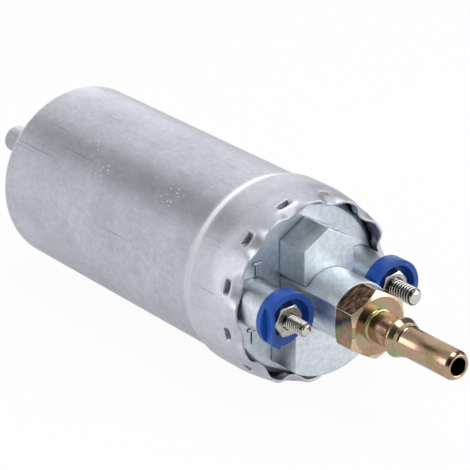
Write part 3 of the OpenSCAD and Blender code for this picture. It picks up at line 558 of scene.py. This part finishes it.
def makeStud(name, radius, pitch, side, node):
    stud = dict(headRadius=3.9, headThick=2.2, start=nutBack + 3.2, runOut=0.6, chamfer=0.8, pointDrop=0.25,
                round=48, perTurn=14, depth=0.6134, crestFlat=0.12, flank=0.70)
    back, tip = (corner[0] for corner in boxMm(node))
    deep = stud["depth"] * pitch
    start, shoulder = stud["start"], back + stud["headThick"]
    count = int((tip - start) / pitch * stud["perTurn"])

    def section(a):
        points = [(back, 0.0), (back, stud["headRadius"]), (shoulder, stud["headRadius"]), (shoulder, radius),
                  (start - stud["runOut"], radius), (start - stud["runOut"] + 0.1, radius - deep)]
        for k in range(count + 1):
            x = start + (tip - start) * k / count
            phase = ((x - start) / pitch - a / (2 * math.pi)) % 1
            crest = (abs(phase - 0.5) * 2 - stud["crestFlat"]) / stud["flank"]  # V with a flat crest and root
            crest = min(1.0, max(0.0, crest))
            begun = min(1.0, (x - start) / stud["runOut"])  # the first turn grows out of the shank
            r = radius - deep * (1 - crest) - deep * crest * (1 - begun)
            over = (x - (tip - stud["chamfer"])) / stud["chamfer"]
            if over > 0:
                r = min(r, radius - over * (deep + stud["pointDrop"]))
            points.append((x, r))
        points.append((tip, 0.0))
        return points

    rows = turnSection(section, stud["round"], side * termY, termZ)
    piece = gridPiece(name, rows, "nickel", closedAcross=False, sharp=60, stands=(node,))
    piece.data.materials[0] = threadFinish


def hexRadius(a, flats, turn, corner):
    # distance to a hexagon's side at this angle, with its corners a little rounded
    m = ((math.degrees(a) - turn) % 60) - 30
    sharp = flats / 2 / math.cos(math.radians(m))
    return min(sharp, flats / math.sqrt(3) - corner)


def makeNut(name, side, bore, turn, node):
    nut = dict(flats=8.0, chamfer=7.6, slope=0.5, corner=0.1, mouth=0.45, steps=360)
    front = boxMm(node)[1][0]

    def section(a):
        r = hexRadius(a, nut["flats"], turn, nut["corner"])
        rim = nut["chamfer"] / 2
        drop = max(0.0, r - rim) * nut["slope"]
        return [(nutBack, bore), (nutBack, r), (front - drop, r), (front, min(rim, r)),
                (front, bore + nut["mouth"]), (front - nut["mouth"], bore)]

    rows = turnSection(section, nut["steps"], side * termY, termZ)
    gridPiece(name, rows, "nickel", sharp=25, stands=(node,))


# Outlet: plated hexagon with a turned neck, bead and tube

def makeOutlet():
    out = dict(flats=17.0, turn=30, thick=6.8, chamfer=15.9, slope=0.6, lip=0.75, seat=8.15, corner=0.15,
               steps=360, neck=4.27, tube=3.97, bead=5.4, bore=2.45, stem=6.0, chamber=4.4, tubeSteps=128,
               glintWide=0.7, glintDeg=1.1)
    stemBack, tip = (corner[0] for corner in boxMm("outlet_fitting"))
    front = hexAt + out["thick"]
    neck, tube, bead, bore = out["neck"], out["tube"], out["bead"], out["bore"]

    def hexSection(a):
        r = hexRadius(a, out["flats"], out["turn"], out["corner"])
        rim = out["chamfer"] / 2
        drop = max(0.0, r - rim) * out["slope"]
        skirt = hexAt - out["lip"]  # the hexagon's rim stands round the washer
        back = skirt + max(0.0, r - out["flats"] / 2) * out["slope"]
        return [(stemBack, out["chamber"]), (stemBack, out["stem"]), (hexAt, out["stem"]),
                (hexAt, out["seat"]), (skirt, out["seat"]), (back - 0.05, min(r, out["flats"] / 2) - 0.2),
                (back + 0.15, r), (front - drop, r), (front, min(rim, r)), (front, neck + 0.55),
                (front - 1.9, neck + 0.5), (front - 2.0, out["chamber"])]

    hexagon = gridPiece("outletHexagon", turnSection(hexSection, out["steps"]), "yellow_zinc", sharp=25,
                        stands=("outlet_fitting",))
    hexagon.data.materials.append(edgeGlint)
    # faces on the hexagon's corners, its front chamfer ring and its back edge take the pale finish, a painted
    # edge highlight
    for face in hexagon.data.polygons:
        x, y, z = face.center / mm
        off = abs((math.degrees(math.atan2(z, y)) - out["turn"]) % 60 - 30)
        ahead = x > hexAt + 0.2
        atFront = front - out["glintWide"] < x < front
        onCorner = ahead and (off > 30 - out["glintDeg"] or atFront)
        onBack = not ahead and abs(face.normal.x) > 0.2
        if math.hypot(y, z) > out["seat"] + 0.15 and (onCorner or onBack):
            face.material_index = 1

    def arcPoints(x, r, radius, fromDeg, toDeg, count):
        return [(x + radius * math.cos(math.radians(d)), r + radius * math.sin(math.radians(d)))
                for d in [fromDeg + (toDeg - fromDeg) * k / (count - 1) for k in range(count)]]

    line = [(front - 1.9, neck + 0.55), (front + 0.25, neck + 0.55), (front + 0.45, neck + 0.4),
            (front + 0.6, neck), (front + 5.5, neck), (front + 7.2, neck), (front + 7.6, neck + 0.15)]
    line += arcPoints(front + 8.9, bead - 1.1, 1.1, 165, 90, 9)  # steep rear of the bead
    line += arcPoints(front + 9.0, bead - 0.5, 0.5, 82, 58, 3)
    line += [(front + 10.5, bead - 0.87), (front + 10.6, bead - 0.94), (front + 10.62, tube + 0.42),
             (front + 11.9, tube + 0.38), (front + 12.1, tube + 0.2), (front + 12.4, tube)]  # cone and collar
    line += [(tip - 9, tube), (tip - 1.3, tube), (tip - 1.1, tube - 0.06), (tip - 0.15, tube - 0.72),
             (tip, tube - 0.9), (tip, bore + 0.3), (tip - 0.25, bore), (front - 1.9, bore)]
    gridPiece("outletTube", turnSection(lambda a: line, out["tubeSteps"]), "yellow_zinc", sharp=40)


# Raised ribs left by the casting die beside the left terminal

def makeDieMarks():
    ribs = dict(high=0.4, wide=0.75, sunk=0.1, draft=0.12,
                bars=[(-15.4, 10.9, 3.0, "y"), (-15.7, 9.2, 3.0, "z"), (-17.0, -7.5, 3.4, "y"),
                      (-17.1, -9.6, 3.8, "z")])  # middle in y and z, length, and the way it lies
    verts, faces, tops = [], [], []
    for y, z, length, way in ribs["bars"]:
        halfY, halfZ = (length / 2, ribs["wide"] / 2) if way == "y" else (ribs["wide"] / 2, length / 2)
        at = len(verts)
        for x, grow in ((faceAt - ribs["sunk"], ribs["draft"]), (faceAt + ribs["high"], 0.0)):
            verts += [(x * mm, (y + a * (halfY + grow)) * mm, (z + b * (halfZ + grow)) * mm)
                      for a, b in ((-1, -1), (1, -1), (1, 1), (-1, 1))]
        tops.append(len(faces))
        faces += [(at + 4, at + 5, at + 6, at + 7), (at + 3, at + 2, at + 1, at)]
        faces += [(at + k, at + (k + 1) % 4, at + 4 + (k + 1) % 4, at + 4 + k) for k in range(4)]
    mesh = bpy.data.meshes.new("dieMarks")
    mesh.from_pydata(verts, [], faces)
    mesh.materials.append(finishes["cast"])
    mesh.materials.append(shearedSlot)  # the sides take the duller, darker finish
    for face in mesh.polygons:
        face.material_index = 0 if face.index in tops else 1
    obj = bpy.data.objects.new("dieMarks", mesh)
    scene.collection.objects.link(obj)
    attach(obj, root)


# Coil springs, each shown as a copy of its CAD mesh; the ends toward its seat and the piece it pushes are
# worked out but not used

def makeSprings():
    pushed = [("checkSpring", "check_spring", "check_poppet"),
              ("reliefSpring", "relief_spring", "relief_ball"),
              ("brushSpringPlus", "brush_spring_plus", "brush_plus"),
              ("brushSpringMinus", "brush_spring_minus", "brush_minus")]
    for name, spring, piece in pushed:
        low, high = [Vector(corner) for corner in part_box(spring)]
        middle = (low + high) / 2
        toward = sum((Vector(corner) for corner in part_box(piece)), Vector()) / 2 - middle
        axis = max(range(3), key=lambda k: abs(toward[k]))
        reach = math.copysign((high[axis] - low[axis]) / 2, toward[axis])
        seatEnd, pushedEnd = middle.copy(), middle.copy()
        seatEnd[axis] -= reach
        pushedEnd[axis] += reach
        obj = bpy.data.objects.new(name, nodes[spring].data.copy())
        scene.collection.objects.link(obj)
        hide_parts(spring)
        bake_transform(obj)


makeDieMarks()
makeSprings()
makeCan()
makeStud("threadedStudMinus", 2.0, 0.8, -1, "stud_minus")  # M4, its pitch a little coarse so that it shows
makeStud("threadedStudPlus", 2.5, 1.0, 1, "stud_plus")  # M5, the same
makeNut("nutMinus", -1, 2.0, 3, "nut_minus")
makeNut("nutPlus", 1, 2.5, 10, "nut_plus")
makeOutlet()
softenEdges("insulator_plus", 0.25)
softenEdges("insulator_minus", 0.25)
softenEdges("inlet_cover", 0.15, 2)


# Camera, at the photograph's place

def placeCamera():
    view = dict(azimuth=53.353, elevation=22.718, roll=-0.438, away=0.746705, right=-0.00727, up=0.00819,
                focusX=flareAt * mm, pixels=2774.08, frame=470, sensor=36.0)
    a, e, r = (math.radians(view[k]) for k in ("azimuth", "elevation", "roll"))
    back = Vector((math.sin(a) * math.cos(e), -math.cos(a) * math.cos(e), math.sin(e)))
    level = Vector((math.cos(a), math.sin(a), 0))
    rise = back.cross(level)
    right = level * math.cos(r) + rise * math.sin(r)
    up = rise * math.cos(r) - level * math.sin(r)
    at = Vector((view["focusX"], 0, 0)) + back * view["away"] + right * view["right"] + up * view["up"]
    data = bpy.data.cameras.new("productCamera")
    data.sensor_width = view["sensor"]
    data.sensor_fit = "HORIZONTAL"
    data.lens = view["pixels"] / view["frame"] * view["sensor"]
    data.clip_end = 20
    cam = bpy.data.objects.new("productCamera", data)
    cam.matrix_world = Matrix.Translation(at) @ Matrix((right, up, back)).transposed().to_4x4()
    scene.collection.objects.link(cam)
    scene.camera = cam


def placeLights():
    # soft boxes: one overhead, one from the right front, a weak one from the left
    boxes = [dict(name="overhead", at=(0.22, 0.08, 0.95), size=(0.5, 0.5), watts=3.8),
             dict(name="rightFront", at=(0.75, 0.85, 0.35), size=(1.0, 1.0), watts=6.0),
             dict(name="leftFill", at=(-0.2, -1.1, 0.4), size=(0.7, 0.7), watts=3.7)]
    aim = Vector((0.03, 0, 0))
    for box in boxes:
        lamp = bpy.data.lights.new(box["name"], "AREA")
        lamp.shape = "RECTANGLE"
        lamp.size, lamp.size_y = box["size"]
        lamp.energy = box["watts"]
        obj = bpy.data.objects.new(box["name"], lamp)
        obj.location = box["at"]
        obj.rotation_euler = (-Vector(box["at"]) + aim).to_track_quat("-Z", "Y").to_euler()
        scene.collection.objects.link(obj)


def makeTent():
    # pale tent round the object: soft brighter panels, then darker flags that shade what the metal mirrors;
    # each has a direction, the cosines where it is full and gone, and how much it gives or takes
    tent = dict(ambient=0.47,
                panels=[((-0.80, 0.60, 0.05), 0.70, 0.35, 0.48), ((-0.60, -0.80, 0.00), 0.85, 0.30, 0.23),
                        ((0.70, 0.60, 0.40), 0.85, 0.30, 0.55), ((-0.93, 0.37, 0.05), 0.985, 0.93, 1.3)],
                flags=[((-0.74, -0.34, 0.58), 0.99, 0.945, 0.76), ((0.66, -0.42, 0.60), 0.95, 0.70, 0.88),
                       ((0.36, 0.55, 0.72), 0.96, 0.85, 0.90), ((0.60, -0.74, 0.28), 0.94, 0.80, 0.85),
                       ((-0.12, 0.95, 0.28), 0.94, 0.82, 0.85)])
    world = bpy.data.worlds.new("paleStudio")
    world.use_nodes = True
    tree = world.node_tree
    tree.nodes.clear()
    way = addNode(tree, "TexCoord").outputs["Generated"]

    def softPatch(axis, full, gone, start, end):
        toward = tuple(Vector(axis).normalized())
        facing = addNode(tree, "VectorMath", {"operation": "DOT_PRODUCT", 1: toward}, {0: way})
        return addNode(tree, "MapRange", {"interpolation_type": "SMOOTHSTEP", "From Min": gone,
                                          "From Max": full, "To Min": start, "To Max": end},
                       {"Value": facing.outputs["Value"]}).outputs["Result"]

    total = addNode(tree, "Value").outputs[0]
    total.default_value = tent["ambient"]
    for axis, full, gone, gain in tent["panels"]:
        patch = softPatch(axis, full, gone, 0.0, gain)
        total = addNode(tree, "Math", {"operation": "ADD"}, {0: total, 1: patch}).outputs[0]
    for axis, full, gone, loss in tent["flags"]:
        patch = softPatch(axis, full, gone, 1.0, 1.0 - loss)
        total = addNode(tree, "Math", {"operation": "MULTIPLY"}, {0: total, 1: patch}).outputs[0]
    sky = addNode(tree, "Background", {"Color": (1, 1, 1, 1)}, {"Strength": total}).outputs[0]
    white = addNode(tree, "Background", {"Color": (1, 1, 1, 1), "Strength": 1.0}).outputs[0]
    ray = addNode(tree, "LightPath").outputs["Is Camera Ray"]
    both = addNode(tree, "MixShader", links={0: ray, 1: sky, 2: white}).outputs[0]
    addNode(tree, "OutputWorld", links={"Surface": both})
    scene.world = world


def makeFloor():
    # pale cloth that glows almost white to the camera and half as much to mirrors, and keeps a faint shadow
    ground = dict(level=-27.3, half=3.0, grey="#ededed", seen=0.95, mirrored=0.5, dimmer=-0.1)
    mat, tree = newMaterial("paleFloor")
    path = addNode(tree, "LightPath").outputs
    seen = addNode(tree, "Math", {"operation": "MAXIMUM"},
                   {0: path["Is Camera Ray"], 1: path["Is Transmission Ray"]}).outputs[0]
    plain = addNode(tree, "Math", {"operation": "MULTIPLY", 1: ground["seen"]}, {0: seen}).outputs[0]
    mirrored = addNode(tree, "Math", {"operation": "MULTIPLY", 1: ground["mirrored"]},
                       {0: path["Is Glossy Ray"]}).outputs[0]
    glowing = addNode(tree, "Math", {"operation": "MULTIPLY_ADD", 1: ground["dimmer"], 2: 1.0},
                      {0: path["Is Glossy Ray"]}).outputs[0]
    share = addNode(tree, "Math", {"operation": "MAXIMUM"}, {0: plain, 1: mirrored}).outputs[0]
    matte = addNode(tree, "BsdfDiffuse", {"Color": toLinear(ground["grey"])}).outputs[0]
    glow = addNode(tree, "Emission", {"Color": (1, 1, 1, 1)}, {"Strength": glowing}).outputs[0]
    mixed = addNode(tree, "MixShader", links={0: share, 1: matte, 2: glow}).outputs[0]
    addNode(tree, "OutputMaterial", links={"Surface": mixed})
    half, level = ground["half"], ground["level"] * mm
    mesh = bpy.data.meshes.new("studioFloor")
    mesh.from_pydata([(x * half, y * half, level) for x, y in ((-1, -1), (1, -1), (1, 1), (-1, 1))], [],
                     [(0, 1, 2, 3)])
    mesh.materials.append(mat)
    floor = bpy.data.objects.new("studioFloor", mesh)
    scene.collection.objects.link(floor)


placeCamera()
placeLights()
makeTent()
makeFloor()
scene.view_settings.view_transform = "Standard"
print("studio ready")
